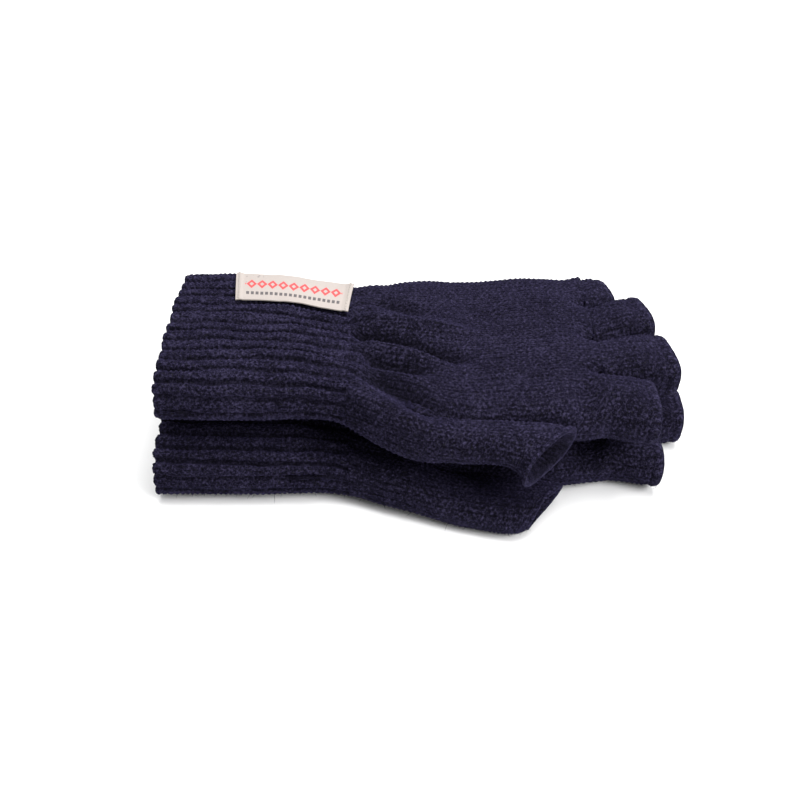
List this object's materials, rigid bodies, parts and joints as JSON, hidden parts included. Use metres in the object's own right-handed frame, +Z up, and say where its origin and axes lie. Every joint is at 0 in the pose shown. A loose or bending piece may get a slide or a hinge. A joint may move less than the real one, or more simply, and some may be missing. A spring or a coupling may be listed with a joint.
{
  "type": "half-finger gloves",
  "caption": "Pair of knitted wool half-finger gloves lying one on the other, with ribbed cuffs, open thumb and finger stalls and a woven label on the upper cuff.",
  "frame": {"origin": "centre of the overall bounding box in plan, at the height of the surface that the lower glove rests on", "axes": "+X runs from the cuffs to the fingertips, +Y from the thumbs to the little fingers, +Z up"},
  "size_m": [0.2, 0.1178, 0.0544],
  "materials": {
    "navy_wool": "fuzzy heathered wool knit",
    "label_cloth": "woven tape",
    "label_thread": "sewing thread"
  },
  "bodies": {
    "lower_hand": {"lower_hand": "navy_wool"},
    "lower_cuff": {"lower_cuff": "navy_wool"},
    "lower_thumb": {"lower_thumb": "navy_wool"},
    "lower_index_finger": {"lower_index_finger": "navy_wool"},
    "lower_middle_finger": {"lower_middle_finger": "navy_wool"},
    "lower_ring_finger": {"lower_ring_finger": "navy_wool"},
    "lower_little_finger": {"lower_little_finger": "navy_wool"},
    "upper_hand": {"upper_hand": "navy_wool"},
    "upper_cuff": {"upper_cuff": "navy_wool", "woven_label": "label_cloth", "label_stitch_mouth_end": "label_thread", "label_stitch_wrist_end": "label_thread"},
    "upper_thumb": {"upper_thumb": "navy_wool"},
    "upper_index_finger": {"upper_index_finger": "navy_wool"},
    "upper_middle_finger": {"upper_middle_finger": "navy_wool"},
    "upper_ring_finger": {"upper_ring_finger": "navy_wool"},
    "upper_little_finger": {"upper_little_finger": "navy_wool"}
  },
  "joints": [
    {"name": "lower_wrist_bend", "type": "hinge", "parent": "lower_hand", "child": "lower_cuff", "pos_m": [-0.0312, 0.0039, 0], "axis": [0, -1, 0], "range_deg": [0, 60], "stiffness_Nm_per_rad": 0.01},
    {"name": "lower_thumb_swing", "type": "hinge", "parent": "lower_hand", "child": "lower_thumb", "pos_m": [0.0082, -0.0569, 0.0095], "axis": [0, 0, -1], "range_deg": [0, 40], "stiffness_Nm_per_rad": 0.003},
    {"name": "lower_index_bend", "type": "hinge", "parent": "lower_hand", "child": "lower_index_finger", "pos_m": [0.0672, -0.02463, 0], "axis": [0, 1, 0], "range_deg": [0, 70], "stiffness_Nm_per_rad": 0.002},
    {"name": "lower_middle_bend", "type": "hinge", "parent": "lower_hand", "child": "lower_middle_finger", "pos_m": [0.0672, -0.00128, 0], "axis": [0, 1, 0], "range_deg": [0, 70], "stiffness_Nm_per_rad": 0.002},
    {"name": "lower_ring_bend", "type": "hinge", "parent": "lower_hand", "child": "lower_ring_finger", "pos_m": [0.0672, 0.02208, 0], "axis": [0, 1, 0], "range_deg": [0, 70], "stiffness_Nm_per_rad": 0.002},
    {"name": "lower_little_bend", "type": "hinge", "parent": "lower_hand", "child": "lower_little_finger", "pos_m": [0.0672, 0.04543, 0], "axis": [0, 1, 0], "range_deg": [0, 70], "stiffness_Nm_per_rad": 0.002},
    {"name": "upper_glove_lift", "type": "slide", "parent": "lower_hand", "child": "upper_hand", "axis": [0, 0, 1], "range_m": [0, 0.12]},
    {"name": "upper_wrist_bend", "type": "hinge", "parent": "upper_hand", "child": "upper_cuff", "pos_m": [-0.0312, 0.0039, 0.0474], "axis": [0, 1, 0], "range_deg": [0, 60], "stiffness_Nm_per_rad": 0.01},
    {"name": "upper_thumb_swing", "type": "hinge", "parent": "upper_hand", "child": "upper_thumb", "pos_m": [0.0082, -0.0569, 0.0339], "axis": [0, 0, -1], "range_deg": [0, 40], "stiffness_Nm_per_rad": 0.003},
    {"name": "upper_index_bend", "type": "hinge", "parent": "upper_hand", "child": "upper_index_finger", "pos_m": [0.0632, -0.02463, 0.0424], "axis": [0, -1, 0], "range_deg": [0, 70], "stiffness_Nm_per_rad": 0.002},
    {"name": "upper_middle_bend", "type": "hinge", "parent": "upper_hand", "child": "upper_middle_finger", "pos_m": [0.0632, -0.00128, 0.0424], "axis": [0, -1, 0], "range_deg": [0, 70], "stiffness_Nm_per_rad": 0.002},
    {"name": "upper_ring_bend", "type": "hinge", "parent": "upper_hand", "child": "upper_ring_finger", "pos_m": [0.0632, 0.02208, 0.0424], "axis": [0, -1, 0], "range_deg": [0, 70], "stiffness_Nm_per_rad": 0.002},
    {"name": "upper_little_bend", "type": "hinge", "parent": "upper_hand", "child": "upper_little_finger", "pos_m": [0.0632, 0.04543, 0.0424], "axis": [0, -1, 0], "range_deg": [0, 70], "stiffness_Nm_per_rad": 0.002}
  ]
}
